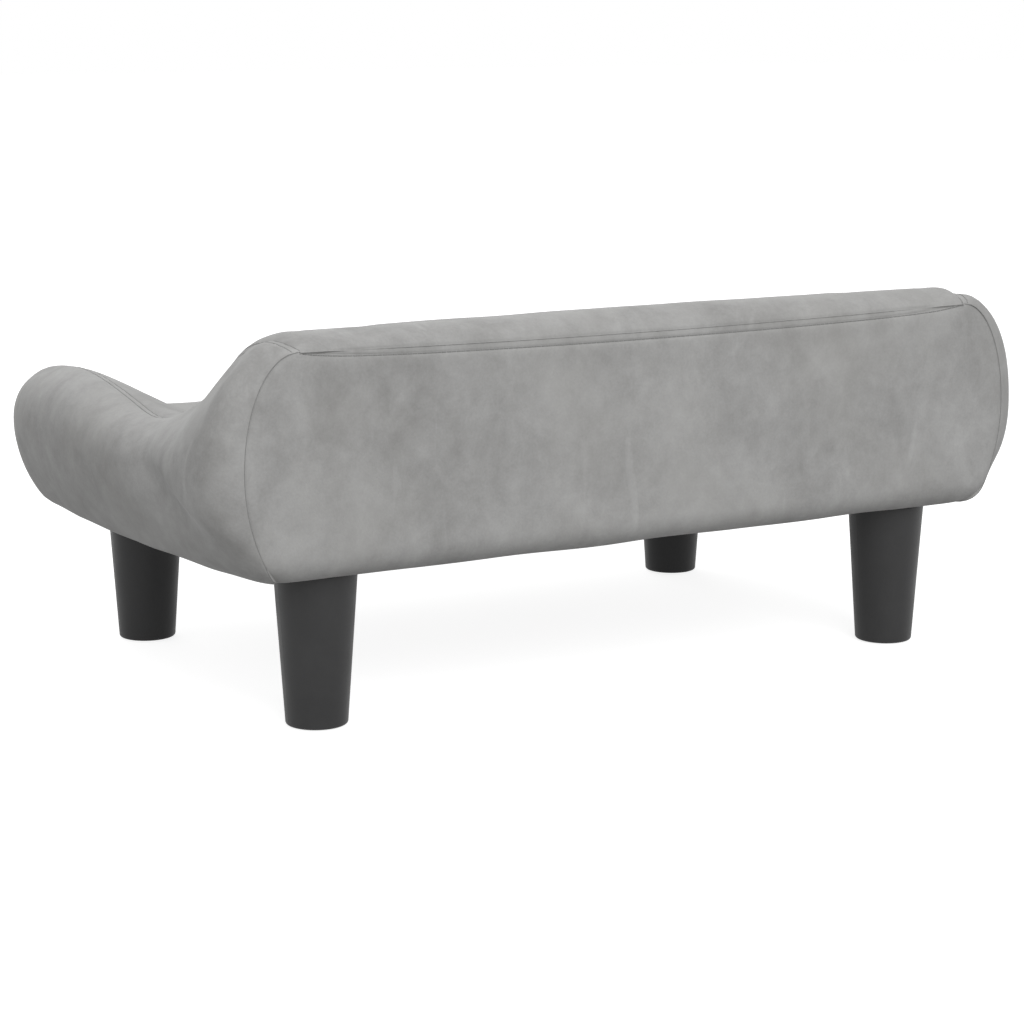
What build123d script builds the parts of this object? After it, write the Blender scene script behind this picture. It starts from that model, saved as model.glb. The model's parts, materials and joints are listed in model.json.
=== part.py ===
from build123d import *
import os
from math import atan2, cos, pi, sin, sqrt

# Small upholstered pet sofa: low back with rounded ends, two padded wings, four tapered legs.
# Millimetres, +Z up. The front faces -Y and the right-hand side is +X.
# The origin is on the floor, under the middle of the bed's box.

os.makedirs("parts", exist_ok=True)

# Overall sizes
bed_width = 700
bed_depth = 450
leg_height = 110
gap = 0.3
overrun = 5

# Rear panel, flat with rounded ends
rear_width = 650
rear_seam_height = 271
rear_widest_share = 0.497
rear_end_run = 42
rear_shoulder_radius = 30
rear_top_sag = 3.5
rear_pad_thickness = 20
rear_bottom_round = 20
rear_edge_start = 4
rear_edge_inset = 2

# Wings: heights along the top, reach of the seam, of the heel and of the lining
wing_dip_height = 205
wing_crest_height = 221.5
wing_ridge_height = 180
wing_seam_reach = 307
wing_heel_reach = 327
wing_heel_rise = 10
wing_heel_run = 12
wing_lining_reach = 262
wing_lining_drop = 20
strip_thickness = 12
strip_crown = 3
back_crest_rise = 9
back_crest_setback = 28
back_strip_end_drop = 1
back_strip_edge = 3

# Firm core of a wing, which the strip runs over
core_slope_foot_share = 0.147
core_slope_head_share = 0.389
core_crest_share = 0.178
core_crest_drop = 13.5
core_dip_depth = 5
core_dip_radius = 60
core_head_radius = 40
core_crest_radius = 60
core_nose_radius = 55
core_nose_drop = 14

# Wooden frame
board_thickness = 12
wing_board_reach = 282
wing_board_toe = 15
base_thickness = 12
rail_thickness = 18
rail_height = 20
deck_thickness = 6
dust_cover_thickness = 1
dust_cover_lap = 8
dust_cover_front_setback = 27
dust_cover_rear_setback = 23
dust_cover_corner = 20
back_board_corner = 40
rear_rail_setback = 33
side_rail_setback = 40

# Seat, back and front padding
seat_front_setback = 13
back_rest_thickness = 30
seat_height = 182
seat_edge_height = 175
seat_edge_round = 10
seat_corner = 15
seat_side_draw = 2
cover_thickness = 3
front_pad_thickness = 16
front_pad_round = 7
lining_round = 3
back_pad_crown = 3
back_pad_round = 6

# Legs and their fixings
leg_spacing = 500
rear_leg_setback = 48
front_leg_setback = 99.5
leg_top_radius = 29.5
leg_foot_radius = 21.9
leg_foot_round = 2
leg_wall = 2.5
leg_floor = 5
leg_boss_radius = 8
leg_boss_depth = 30
leg_rib_thickness = 2
glide_radius = 14
glide_thickness = 3
glide_proud = 1
bolt_radius = 4
bolt_grip = 25
bolt_reach = 20
bolt_clearance = 0.1
nut_flange_radius = 11
nut_flange_thickness = 1.5
nut_barrel_radius = 5
nut_barrel_length = 9

# Wood screws
screw_radius = 2
screw_head_radius = 4
screw_head_height = 2.5
screw_tip = 4
screw_length = 30
deck_screw_length = 18
screw_clearance = 0.05
wing_screw_pitch = 75

# Heights and places that follow
bed_height = rear_seam_height + back_crest_rise
rear_widest_height = leg_height + rear_widest_share * (rear_seam_height - leg_height)
half_width = bed_width / 2
back_face = bed_depth / 2
frame_bottom = leg_height + dust_cover_thickness
pad_bottom = frame_bottom + gap
rail_bottom = frame_bottom + base_thickness
deck_bottom = rail_bottom + rail_height
deck_top = deck_bottom + deck_thickness
pad_floor = deck_top + gap
rear_half = rear_width / 2
rear_flat_half = rear_half - rear_end_run
rear_edge_face = back_face - rear_edge_start
wing_board_inner = wing_board_reach - board_thickness
back_board_rear = back_face - rear_pad_thickness
back_board_front = back_board_rear - board_thickness
seat_front = back_face - seat_front_setback
seat_back = back_board_front - back_rest_thickness
back_strip_front = seat_back + gap
rear_leg_place = back_face - rear_leg_setback
front_leg_place = front_leg_setback - back_face
rear_rail_rear = back_board_front - rear_rail_setback
side_rail_reach = wing_board_inner - side_rail_setback
dust_cover_reach = wing_board_reach + dust_cover_lap
dust_cover_front = back_face - dust_cover_front_setback
dust_cover_rear = back_face - dust_cover_rear_setback
core_top = rear_seam_height - strip_thickness
core_nose = back_face - strip_thickness
back_rest_reach = wing_lining_reach - gap
lining_outer = wing_board_inner - gap
base_front = seat_front - front_pad_thickness
side_rail_inner = side_rail_reach - rail_thickness


def cross_plane(y):
    """Upright plane across the bed: first axis +X, second +Z."""
    return Plane((0, y, 0), x_dir=(1, 0, 0), z_dir=(0, -1, 0))


def long_plane(x):
    """Upright plane along the bed: first axis +Y, second +Z."""
    return Plane((x, 0, 0), x_dir=(0, 1, 0), z_dir=(1, 0, 0))


def on_arc(centre, radius, angle):
    return (centre[0] + radius * cos(angle), centre[1] + radius * sin(angle))


def block(west, east, front, rear, low, high):
    """Box between six faces."""
    with BuildPart() as solid:
        with Locations(((west + east) / 2, (front + rear) / 2, (low + high) / 2)):
            Box(east - west, rear - front, high - low)
    return solid.part


def rear_section(y, inset):
    """The rear seam's outline at y, drawn in by inset at its ends and top, not at its bottom."""
    small = rear_shoulder_radius
    run = rear_end_run
    rise = rear_seam_height - rear_widest_height
    drop = rear_widest_height - pad_bottom
    large_up = (run**2 + rise**2 - 2 * rise * small) / (2 * (run - small))
    large_down = (run**2 + drop**2 - 2 * drop * small) / (2 * (run - small))
    turn_up = atan2(rise - small, large_up - run)
    turn_down = -atan2(drop - small, large_down - run)
    up_centre = (rear_half - large_up, rear_widest_height)
    down_centre = (rear_half - large_down, rear_widest_height)
    top_centre = (rear_flat_half, rear_seam_height - small)
    low_centre = (rear_flat_half, pad_bottom + small)
    top = (rear_flat_half, rear_seam_height - inset)
    widest = (rear_half - inset, rear_widest_height)
    low = (rear_flat_half, pad_bottom + inset)
    high_joint = on_arc(top_centre, small - inset, turn_up)
    low_joint = on_arc(low_centre, small - inset, turn_down)
    middle = rear_seam_height - inset - rear_top_sag
    quarter = rear_seam_height - inset - rear_top_sag * 3 / 4
    with BuildSketch(cross_plane(y)) as section:
        with BuildLine():
            ThreePointArc((0, middle), (rear_flat_half / 2, quarter), top)
            ThreePointArc(top, on_arc(top_centre, small - inset, (turn_up + pi / 2) / 2), high_joint)
            ThreePointArc(high_joint, on_arc(up_centre, large_up - inset, turn_up / 2), widest)
            ThreePointArc(widest, on_arc(down_centre, large_down - inset, turn_down / 2), low_joint)
            ThreePointArc(low_joint, on_arc(low_centre, small - inset, (turn_down - pi / 2) / 2), low)
            Polyline(low, (rear_flat_half, pad_bottom), (0, pad_bottom))
            mirror(about=Plane.YZ)
        make_face()
    return section.sketch


def rear_envelope(clearance):
    """The space that the rear panel takes, mitred at its ends and top, grown by clearance."""
    with BuildPart() as envelope:
        loft([rear_section(back_board_rear, rear_pad_thickness - clearance),
              rear_section(rear_edge_face, rear_edge_inset - clearance)], ruled=True)
        extrude(rear_section(rear_edge_face, rear_edge_inset - clearance), amount=-overrun)
    return envelope.part


# Wing sections from the back face to the nose, as shares. Each row gives its place along the depth,
# then how far out and how high its ridge is, how far out and how high its top seam is, how far out
# its heel is, how high its floor is, how far the lining side of the strip drops, and how lean the
# roll between ridge and seam is: below 1 it is full, above 1 it draws in.
rear_wing_shares = (
    (0.000, 0.00, 1.0, 0.00, 1.00, 0.59, 0.25, 0.00, 1.00),
    (0.025, 0.64, 0.7, 0.19, 1.02, 0.68, 0.06, -0.22, 0.80),
    (0.051, 0.92, 0.5, 0.31, 1.05, 0.76, 0.00, -0.30, 1.00),
    (0.091, 0.99, 0.3, 0.46, 1.02, 0.83, 0.00, -0.33, 1.55),
    (0.124, 0.97, 0.2, 0.60, 0.95, 0.86, 0.00, -0.23, 2.30),
    (0.153, 0.92, 0.2, 0.69, 0.82, 0.88, 0.00, -0.12, 2.60),
    (0.200, 0.82, 0.1, 0.75, 0.58, 0.91, 0.00, -0.03, 2.70),
    (0.250, 0.77, 0.0, 0.79, 0.34, 0.93, 0.00, 0.00, 2.40),
    (0.310, 0.82, 0.0, 0.92, 0.12, 0.96, 0.00, 0.20, 1.30),
)
arm_wing_shares = (
    (0.390, 0.93, 0.0, 1.00, 0.00, 0.98, 0.00, 0.33, 0.60),
    (0.480, 0.99, 0.0, 0.96, 0.24, 1.00, 0.00, 0.60, 0.55),
    (0.590, 0.99, 0.0, 0.88, 0.70, 1.00, 0.00, 0.90, 0.60),
    (0.700, 0.99, 0.0, 0.79, 1.00, 1.00, 0.00, 1.05, 0.60),
    (0.782, 0.94, -0.1, 0.73, 0.96, 1.00, 0.00, 0.99, 0.62),
    (0.851, 0.75, -0.2, 0.69, 0.70, 0.95, 0.00, 0.88, 0.66),
    (0.910, 0.45, -0.4, 0.62, 0.23, 0.76, 0.01, 0.70, 0.70),
    (0.945, 0.04, -0.5, 0.55, -0.21, 0.59, 0.03, 0.58, 0.76),
    (0.971, -0.36, -0.6, 0.41, -0.75, 0.36, 0.08, 0.40, 0.86),
    (0.990, -0.95, -0.8, 0.26, -1.30, 0.12, 0.26, 0.25, 0.95),
    (1.000, -1.38, -0.8, 0.20, -1.82, -0.05, 0.50, 0.00, 1.00),
)


def wing_corner_points(shares, peak_height):
    """Place along Y, then ridge, seam, heel, toe and lining points and the lean of one section."""
    place, out, ridge_up, seam, seam_up, heel, floor, drop, lean = shares
    ridge = (rear_half + out * (half_width - rear_half),
             wing_ridge_height + ridge_up * (rear_widest_height - wing_ridge_height))
    top = (rear_flat_half + seam * (wing_seam_reach - rear_flat_half),
           wing_dip_height + seam_up * (peak_height - wing_dip_height))
    floor_height = pad_bottom + floor * (wing_ridge_height - pad_bottom)
    heel_point = (rear_flat_half + heel * (wing_heel_reach - rear_flat_half),
                  floor_height + wing_heel_rise)
    toe = (heel_point[0] - wing_heel_run, floor_height)
    lining = (wing_lining_reach, top[1] - drop * wing_lining_drop)
    return back_face - place * bed_depth, ridge, top, heel_point, toe, lining, lean


wing_stations = [wing_corner_points(row, rear_seam_height) for row in rear_wing_shares]
wing_stations += [wing_corner_points(row, wing_crest_height) for row in arm_wing_shares]


def wing_section(station):
    """One section: padded flank from the heel to the ridge, rolled top, crowned strip, flat lining."""
    y, ridge, top, heel, toe, lining, lean = station
    half_diagonal = sqrt(1 / 2)
    heel_middle = (toe[0] + (heel[0] - toe[0]) * half_diagonal,
                   toe[1] + (heel[1] - toe[1]) * (1 - half_diagonal))
    flank_out = ridge[0] - heel[0]
    flank_up = ridge[1] - heel[1]
    flank_radius = (flank_out**2 + flank_up**2) / (2 * flank_out)
    flank_centre = (ridge[0] - flank_radius, ridge[1])
    flank_turn = -atan2(flank_up, flank_radius - flank_out)
    across = ridge[0] - top[0]
    above = top[1] - ridge[1]

    def roll(angle):
        return (top[0] + across * cos(angle)**lean, ridge[1] + above * sin(angle))

    crown = ((top[0] + lining[0]) / 2, (top[1] + lining[1]) / 2 + strip_crown)
    with BuildSketch(cross_plane(y)) as section:
        with BuildLine():
            ThreePointArc(toe, heel_middle, heel)
            ThreePointArc(heel, on_arc(flank_centre, flank_radius, flank_turn / 2), ridge)
            ThreePointArc(ridge, roll(pi / 8), roll(pi / 4))
            ThreePointArc(roll(pi / 4), roll(pi * 3 / 8), top)
            ThreePointArc(top, crown, lining)
            Polyline(lining, (wing_lining_reach, toe[1]), toe)
        make_face()
    return section.sketch


def core_slice(inner, outer, clearance):
    """Slice of the wing's core between two reaches, as long as the bed, grown by clearance."""
    foot = core_slope_foot_share * bed_depth
    head = core_slope_head_share * bed_depth
    peak = core_crest_share * bed_depth
    crest = wing_crest_height - strip_thickness - core_crest_drop
    low = leg_height - overrun
    with BuildPart() as core:
        with BuildSketch(long_plane(inner)):
            with BuildLine():
                FilletPolyline((back_face + overrun, core_top),
                               (head, core_top),
                               (foot, wing_dip_height - strip_thickness - core_dip_depth),
                               (-peak, crest),
                               (-core_nose, crest - core_nose_drop),
                               (-core_nose, low),
                               radius=(core_head_radius, core_dip_radius, core_crest_radius,
                                       core_nose_radius))
                Polyline((-core_nose, low), (back_face + overrun, low), (back_face + overrun, core_top))
            make_face()
            if clearance > 0:
                offset(amount=clearance)
        extrude(amount=outer - inner)
    return core.part


def seam_side(clearance):
    """Everything on the strip's side of the upright surface through the wing's top seam."""
    seam_points = [(station[2][0] - clearance, station[0]) for station in wing_stations]
    first = seam_points[0]
    last = seam_points[-1]
    inner = wing_lining_reach - overrun
    with BuildPart() as side:
        with BuildSketch(Plane.XY.offset(leg_height - overrun)):
            with BuildLine():
                Spline(*seam_points)
                Polyline(first, (first[0], back_face + overrun), (inner, back_face + overrun),
                         (inner, -back_face - overrun), (last[0], -back_face - overrun), last)
            make_face()
        extrude(amount=bed_height)
    return side.part


def screw(length, clearance):
    """Countersunk wood screw with its head flush at the origin, pointing down."""
    shank = screw_radius + clearance
    with BuildPart() as solid:
        with BuildSketch(Plane.XZ):
            with BuildLine():
                Polyline((0, 0), (screw_head_radius + clearance, 0), (shank, -screw_head_height),
                         (shank, screw_tip - length), (0, -length - clearance), (0, 0))
            make_face()
        revolve(axis=Axis.Z)
    return solid.part


# Where the screws go: position, then turns about X, Y and Z
rear_rail_middle = rear_rail_rear - rail_thickness / 2
front_rail_middle = -base_front + rail_thickness / 2
side_rail_middle = side_rail_reach - rail_thickness / 2
panel_middle = frame_bottom + base_thickness / 2
board_middle = wing_board_reach - board_thickness / 2

base_screw_places = [(side * share * side_rail_inner, y)
                     for side in (-1, 1) for share in (0.3, 0.85)
                     for y in (front_rail_middle, rear_rail_middle)]
base_screw_places += [(side * side_rail_middle, share * base_front)
                      for side in (-1, 1) for share in (-0.3, 0.4)]
base_screw_places += [(0, share * base_front) for share in (-0.3, 0.4)]
deck_screw_places = [(side * share * side_rail_inner, y)
                     for side in (-1, 1) for share in (0.1, 0.65)
                     for y in (front_rail_middle, rear_rail_middle)]
deck_screw_places += [(side * side_rail_middle, 0) for side in (-1, 0, 1)]

base_screw_spots = [Location((x, y, frame_bottom), (180, 0, 0)) for x, y in base_screw_places]
deck_screw_spots = [Location((x, y, deck_top), (0, 0, 0)) for x, y in deck_screw_places]
wing_screw_spots = [Location((side * wing_board_reach, step * wing_screw_pitch, panel_middle),
                             (0, side * 90, 0)) for side in (-1, 1) for step in (-1, 0, 1)]
back_screw_spots = [Location((side * share * side_rail_reach, back_board_rear, panel_middle),
                             (-90, 0, 0)) for side in (-1, 1) for share in (0.25, 0.75)]
back_screw_spots += [Location((side * board_middle, back_board_rear,
                               frame_bottom + share * (core_top - frame_bottom)),
                              (-90, 0, 0)) for side in (-1, 1) for share in (0.37, 0.71)]

long_hole = screw(screw_length, screw_clearance)
deck_hole = screw(deck_screw_length, screw_clearance)
leg_places = [(side * leg_spacing / 2, y) for y in (front_leg_place, rear_leg_place)
              for side in (-1, 1)]

# Wooden frame
with BuildPart() as base_panel:
    add(block(-wing_board_inner, wing_board_inner, -base_front, back_board_front,
              frame_bottom, rail_bottom))
    with Locations(*[(x, y, panel_middle) for x, y in leg_places]):
        Cylinder(nut_barrel_radius, base_thickness, mode=Mode.SUBTRACT)
    with Locations(*base_screw_spots, *wing_screw_spots, *back_screw_spots):
        add(long_hole, mode=Mode.SUBTRACT)

with BuildPart() as front_rail:
    add(block(-side_rail_reach, side_rail_reach, -base_front, rail_thickness - base_front,
              rail_bottom, deck_bottom))
    with Locations(*base_screw_spots):
        add(long_hole, mode=Mode.SUBTRACT)
    with Locations(*deck_screw_spots):
        add(deck_hole, mode=Mode.SUBTRACT)

with BuildPart() as rear_rail:
    add(block(-side_rail_reach, side_rail_reach, rear_rail_rear - rail_thickness, rear_rail_rear,
              rail_bottom, deck_bottom))
    with Locations(*base_screw_spots):
        add(long_hole, mode=Mode.SUBTRACT)
    with Locations(*deck_screw_spots):
        add(deck_hole, mode=Mode.SUBTRACT)


def long_rail(middle):
    """Rail from the front rail to the rear rail, drilled for its screws."""
    with BuildPart() as rail:
        add(block(middle - rail_thickness / 2, middle + rail_thickness / 2,
                  rail_thickness - base_front, rear_rail_rear - rail_thickness,
                  rail_bottom, deck_bottom))
        with Locations(*base_screw_spots):
            add(long_hole, mode=Mode.SUBTRACT)
        with Locations(*deck_screw_spots):
            add(deck_hole, mode=Mode.SUBTRACT)
    return rail.part


with BuildPart() as right_rail:
    add(long_rail(side_rail_middle))

with BuildPart() as left_rail:
    add(long_rail(-side_rail_middle))

with BuildPart() as centre_rail:
    add(long_rail(0))

with BuildPart() as seat_deck:
    add(block(-wing_board_inner, wing_board_inner, -base_front, seat_back, deck_bottom, deck_top))
    with Locations(*deck_screw_spots):
        add(deck_hole, mode=Mode.SUBTRACT)

with BuildPart() as right_wing_board:
    add(core_slice(wing_board_inner, wing_board_reach, 0))
    add(block(0, half_width, -back_face, back_board_front, frame_bottom, bed_height),
        mode=Mode.INTERSECT)
    fillet(right_wing_board.edges().filter_by(Axis.X).group_by(Axis.Z)[0].sort_by(Axis.Y)[0],
           radius=wing_board_toe)
    with Locations(*wing_screw_spots, *back_screw_spots):
        add(long_hole, mode=Mode.SUBTRACT)

with BuildPart() as left_wing_board:
    add(mirror(right_wing_board.part, about=Plane.YZ))

with BuildPart() as back_board:
    with BuildSketch(cross_plane(back_board_rear)):
        with Locations((0, (frame_bottom + core_top) / 2)):
            Rectangle(2 * wing_board_reach, core_top - frame_bottom)
    extrude(amount=board_thickness)
    fillet(back_board.edges().filter_by(Axis.Y).group_by(Axis.Z)[-1], radius=back_board_corner)
    with Locations(*back_screw_spots):
        add(long_hole, mode=Mode.SUBTRACT)

# Padded wing as one body, before it is parted into side panel and strip
with BuildPart() as wing_blank:
    loft([wing_section(station) for station in wing_stations])
    add(block(0, bed_width, -bed_depth, bed_depth, pad_bottom, bed_height + overrun),
        mode=Mode.INTERSECT)

with BuildPart() as right_side_pad:
    add(wing_blank.part)
    add(seam_side(0) - core_slice(0, half_width, 0), mode=Mode.SUBTRACT)
    add(rear_envelope(gap), mode=Mode.SUBTRACT)
    add(block(0, wing_board_reach + gap, -bed_depth, bed_depth, 0, bed_height)
        & core_slice(0, half_width, 0), mode=Mode.SUBTRACT)

with BuildPart() as left_side_pad:
    add(mirror(right_side_pad.part, about=Plane.YZ))

with BuildPart() as right_wing_strip:
    add(wing_blank.part)
    add(seam_side(gap), mode=Mode.INTERSECT)
    add(core_slice(0, half_width, gap), mode=Mode.SUBTRACT)
    add(rear_envelope(gap), mode=Mode.SUBTRACT)

with BuildPart() as left_wing_strip:
    add(mirror(right_wing_strip.part, about=Plane.YZ))

with BuildPart() as right_wing_lining:
    add(core_slice(wing_lining_reach, lining_outer, 0))
    add(block(0, half_width, -back_face, back_board_front - gap, pad_floor, bed_height),
        mode=Mode.INTERSECT)
    fillet(right_wing_lining.faces().sort_by(Axis.X)[0].edges(), radius=lining_round)

with BuildPart() as left_wing_lining:
    add(mirror(right_wing_lining.part, about=Plane.YZ))

# Back: rear panel, strip over the top and inner pad
with BuildPart() as rear_pad:
    loft([rear_section(back_board_rear + gap, rear_pad_thickness - gap),
          rear_section(rear_edge_face, rear_edge_inset)], ruled=True)
    loft([rear_section(rear_edge_face, rear_edge_inset),
          rear_section(back_face - rear_edge_start / 3, rear_edge_inset * 3 / 2),
          rear_section(back_face, rear_edge_inset * 3)], ruled=True)
    with BuildSketch(long_plane(-half_width)):
        with BuildLine():
            RadiusArc((back_face, pad_bottom + rear_bottom_round),
                      (back_face - rear_bottom_round, pad_bottom), rear_bottom_round)
            Polyline((back_face - rear_bottom_round, pad_bottom),
                     (back_face - rear_bottom_round, 0), (back_face + overrun, 0),
                     (back_face + overrun, pad_bottom + rear_bottom_round),
                     (back_face, pad_bottom + rear_bottom_round))
        make_face()
    extrude(amount=bed_width, mode=Mode.SUBTRACT)


def back_strip_section(x, crest, rear_height):
    """Section of the strip over the back: rear seam, rounded crest, front edge."""
    low = core_top + gap
    seam = (back_face, rear_height)
    front = (back_strip_front, (low + crest) / 2)
    peak = (back_face - back_crest_setback, crest)
    with BuildSketch(long_plane(x)) as section:
        with BuildLine():
            ThreePointArc(seam, peak, front)
            Polyline(front, (back_strip_front + back_strip_edge, low), (back_face, low), seam)
        make_face()
    return section.sketch


with BuildPart() as back_strip:
    loft([back_strip_section(-back_rest_reach, bed_height - back_strip_end_drop, rear_seam_height),
          back_strip_section(0, bed_height, rear_seam_height - rear_top_sag),
          back_strip_section(back_rest_reach, bed_height - back_strip_end_drop, rear_seam_height)])
    add(rear_envelope(gap), mode=Mode.SUBTRACT)

with BuildPart() as back_pad:
    with BuildSketch(long_plane(-back_rest_reach)):
        with BuildLine():
            ThreePointArc((seat_back + back_pad_crown, pad_floor),
                          (seat_back, (pad_floor + core_top) / 2),
                          (seat_back + back_pad_crown, core_top - gap))
            Polyline((seat_back + back_pad_crown, core_top - gap),
                     (back_board_front - gap, core_top - gap),
                     (back_board_front - gap, pad_floor),
                     (seat_back + back_pad_crown, pad_floor))
        make_face()
    extrude(amount=2 * back_rest_reach)
    fillet(back_pad.edges().filter_by(GeomType.CIRCLE).group_by(Axis.X)[0], radius=back_pad_round)
    fillet(back_pad.edges().filter_by(GeomType.CIRCLE).group_by(Axis.X)[-1], radius=back_pad_round)


def cushion_profile(plane, start, stop):
    """Crowned section of the seat between two ends, with sides that swell between floor and edge."""
    edge = seat_edge_height
    with BuildSketch(plane) as section:
        with BuildLine():
            ThreePointArc((start + seat_side_draw, pad_floor), (start, (pad_floor + edge) / 2),
                          (start + seat_side_draw, edge))
            ThreePointArc((start + seat_side_draw, edge), ((start + stop) / 2, seat_height),
                          (stop - seat_side_draw, edge))
            ThreePointArc((stop - seat_side_draw, edge), (stop, (pad_floor + edge) / 2),
                          (stop - seat_side_draw, pad_floor))
            Line((stop - seat_side_draw, pad_floor), (start + seat_side_draw, pad_floor))
        make_face()
        fillet(section.vertices().group_by(Axis.Y)[-1], radius=seat_edge_round)
    return section.sketch


with BuildPart() as cushion:
    extrude(cushion_profile(cross_plane(seat_back - gap), -back_rest_reach, back_rest_reach),
            amount=seat_back + seat_front - 2 * gap)
    extrude(cushion_profile(long_plane(-back_rest_reach), gap - seat_front, seat_back - gap),
            amount=2 * back_rest_reach, mode=Mode.INTERSECT)
    with BuildSketch():
        with Locations((0, (seat_back - seat_front) / 2)):
            RectangleRounded(2 * back_rest_reach, seat_back + seat_front - 2 * gap, seat_corner)
    extrude(amount=bed_height, mode=Mode.INTERSECT)


def seat_core(inset, floor):
    """Flat block inside the cushion, drawn in on all sides and on top by inset."""
    reach = back_rest_reach - seat_side_draw - inset
    front = gap + seat_side_draw + inset - seat_front
    rear = seat_back - gap - seat_side_draw - inset
    return block(-reach, reach, front, rear, floor, seat_edge_height - inset)


with BuildPart() as seat_cover:
    add(cushion.part)
    add(seat_core(cover_thickness, 0), mode=Mode.SUBTRACT)

with BuildPart() as seat_foam:
    add(seat_core(cover_thickness + gap, pad_floor))
    fillet(seat_foam.edges().filter_by(Axis.Z), radius=lining_round)
    fillet(seat_foam.edges().group_by(Axis.Z)[-1], radius=lining_round)

with BuildPart() as front_pad:
    add(block(-lining_outer, lining_outer, -seat_front, -base_front - gap, pad_bottom, deck_top))
    fillet(front_pad.faces().sort_by(Axis.Y)[0].edges(), radius=front_pad_round)

with BuildPart() as dust_cover:
    with BuildSketch(Plane.XY.offset(leg_height)):
        with Locations((0, (dust_cover_rear - dust_cover_front) / 2)):
            RectangleRounded(2 * dust_cover_reach, dust_cover_rear + dust_cover_front,
                             dust_cover_corner)
        with Locations(*leg_places):
            Circle(nut_barrel_radius, mode=Mode.SUBTRACT)
    extrude(amount=dust_cover_thickness)


# Legs and their fixings
def leg_radius(height):
    return leg_foot_radius + (leg_top_radius - leg_foot_radius) * height / leg_height


rib_low = leg_height - leg_boss_depth
rib_reach = (leg_radius(rib_low) + leg_top_radius - leg_wall) / 2
inner_low = glide_proud + leg_floor

with BuildPart() as leg:
    with BuildSketch(Plane.XZ):
        with BuildLine():
            Polyline((0, glide_proud), (leg_radius(glide_proud), glide_proud),
                     (leg_top_radius, leg_height), (0, leg_height), (0, glide_proud))
        make_face()
    revolve(axis=Axis.Z)
    fillet(leg.edges().group_by(Axis.Z)[0], radius=leg_foot_round)
    with BuildSketch(Plane.XZ):
        with BuildLine():
            Polyline((0, inner_low), (leg_radius(inner_low) - leg_wall, inner_low),
                     (leg_top_radius - leg_wall, leg_height), (0, leg_height), (0, inner_low))
        make_face()
    revolve(axis=Axis.Z, mode=Mode.SUBTRACT)
    with Locations((0, 0, leg_height - leg_boss_depth / 2)):
        Cylinder(leg_boss_radius, leg_boss_depth)
        Box(2 * rib_reach, leg_rib_thickness, leg_boss_depth)
        Box(leg_rib_thickness, 2 * rib_reach, leg_boss_depth)
    with Locations((0, 0, leg_height - bolt_grip / 2)):
        Cylinder(bolt_radius + bolt_clearance, bolt_grip, mode=Mode.SUBTRACT)
    with Locations((0, 0, glide_thickness / 2)):
        Cylinder(glide_radius, glide_thickness, mode=Mode.SUBTRACT)

with BuildPart() as glide:
    with Locations((0, 0, glide_thickness / 2)):
        Cylinder(glide_radius - bolt_clearance, glide_thickness)
    chamfer(glide.edges().group_by(Axis.Z)[0], length=glide_proud / 2)

with BuildPart() as leg_bolts:
    with Locations(*[(x, y, leg_height + (bolt_reach - bolt_grip) / 2) for x, y in leg_places]):
        Cylinder(bolt_radius, bolt_grip + bolt_reach)

with BuildPart() as leg_nuts:
    with Locations(*[(x, y, rail_bottom + nut_flange_thickness / 2) for x, y in leg_places]):
        Cylinder(nut_flange_radius, nut_flange_thickness)
    with Locations(*[(x, y, rail_bottom - nut_barrel_length / 2) for x, y in leg_places]):
        Cylinder(nut_barrel_radius - bolt_clearance, nut_barrel_length)
    with Locations(*[(x, y, rail_bottom) for x, y in leg_places]):
        Cylinder(bolt_radius + bolt_clearance, leg_height, mode=Mode.SUBTRACT)

with BuildPart() as base_screws:
    with Locations(*base_screw_spots):
        add(screw(screw_length, 0))

with BuildPart() as deck_screws:
    with Locations(*deck_screw_spots):
        add(screw(deck_screw_length, 0))

with BuildPart() as wing_screws:
    with Locations(*wing_screw_spots):
        add(screw(screw_length, 0))

with BuildPart() as back_screws:
    with Locations(*back_screw_spots):
        add(screw(screw_length, 0))

for leg_name, (x, y) in zip(("front_left", "front_right", "rear_left", "rear_right"), leg_places):
    for kind, piece in (("leg", leg), ("glide", glide)):
        with BuildPart() as placed:
            with Locations((x, y, 0)):
                add(piece.part)
        placed.part.label = leg_name + "_" + kind
        export_step(placed.part, "parts/" + placed.part.label + ".step")

pieces = {
    "rear_pad": rear_pad, "back_strip": back_strip, "back_pad": back_pad, "back_board": back_board,
    "right_side_pad": right_side_pad, "left_side_pad": left_side_pad,
    "right_wing_strip": right_wing_strip, "left_wing_strip": left_wing_strip,
    "right_wing_lining": right_wing_lining, "left_wing_lining": left_wing_lining,
    "right_wing_board": right_wing_board, "left_wing_board": left_wing_board,
    "base_panel": base_panel, "front_rail": front_rail, "rear_rail": rear_rail,
    "right_rail": right_rail, "left_rail": left_rail, "centre_rail": centre_rail,
    "seat_deck": seat_deck, "seat_foam": seat_foam, "seat_cover": seat_cover,
    "front_pad": front_pad, "dust_cover": dust_cover,
    "leg_bolts": leg_bolts, "leg_nuts": leg_nuts, "base_screws": base_screws,
    "deck_screws": deck_screws, "wing_screws": wing_screws, "back_screws": back_screws,
}
for name, piece in pieces.items():
    piece.part.label = name
    export_step(piece.part, "parts/" + name + ".step")
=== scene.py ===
import json
import math

import bmesh
import bpy
import numpy as np
from mathutils import Matrix, Vector, noise


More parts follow.
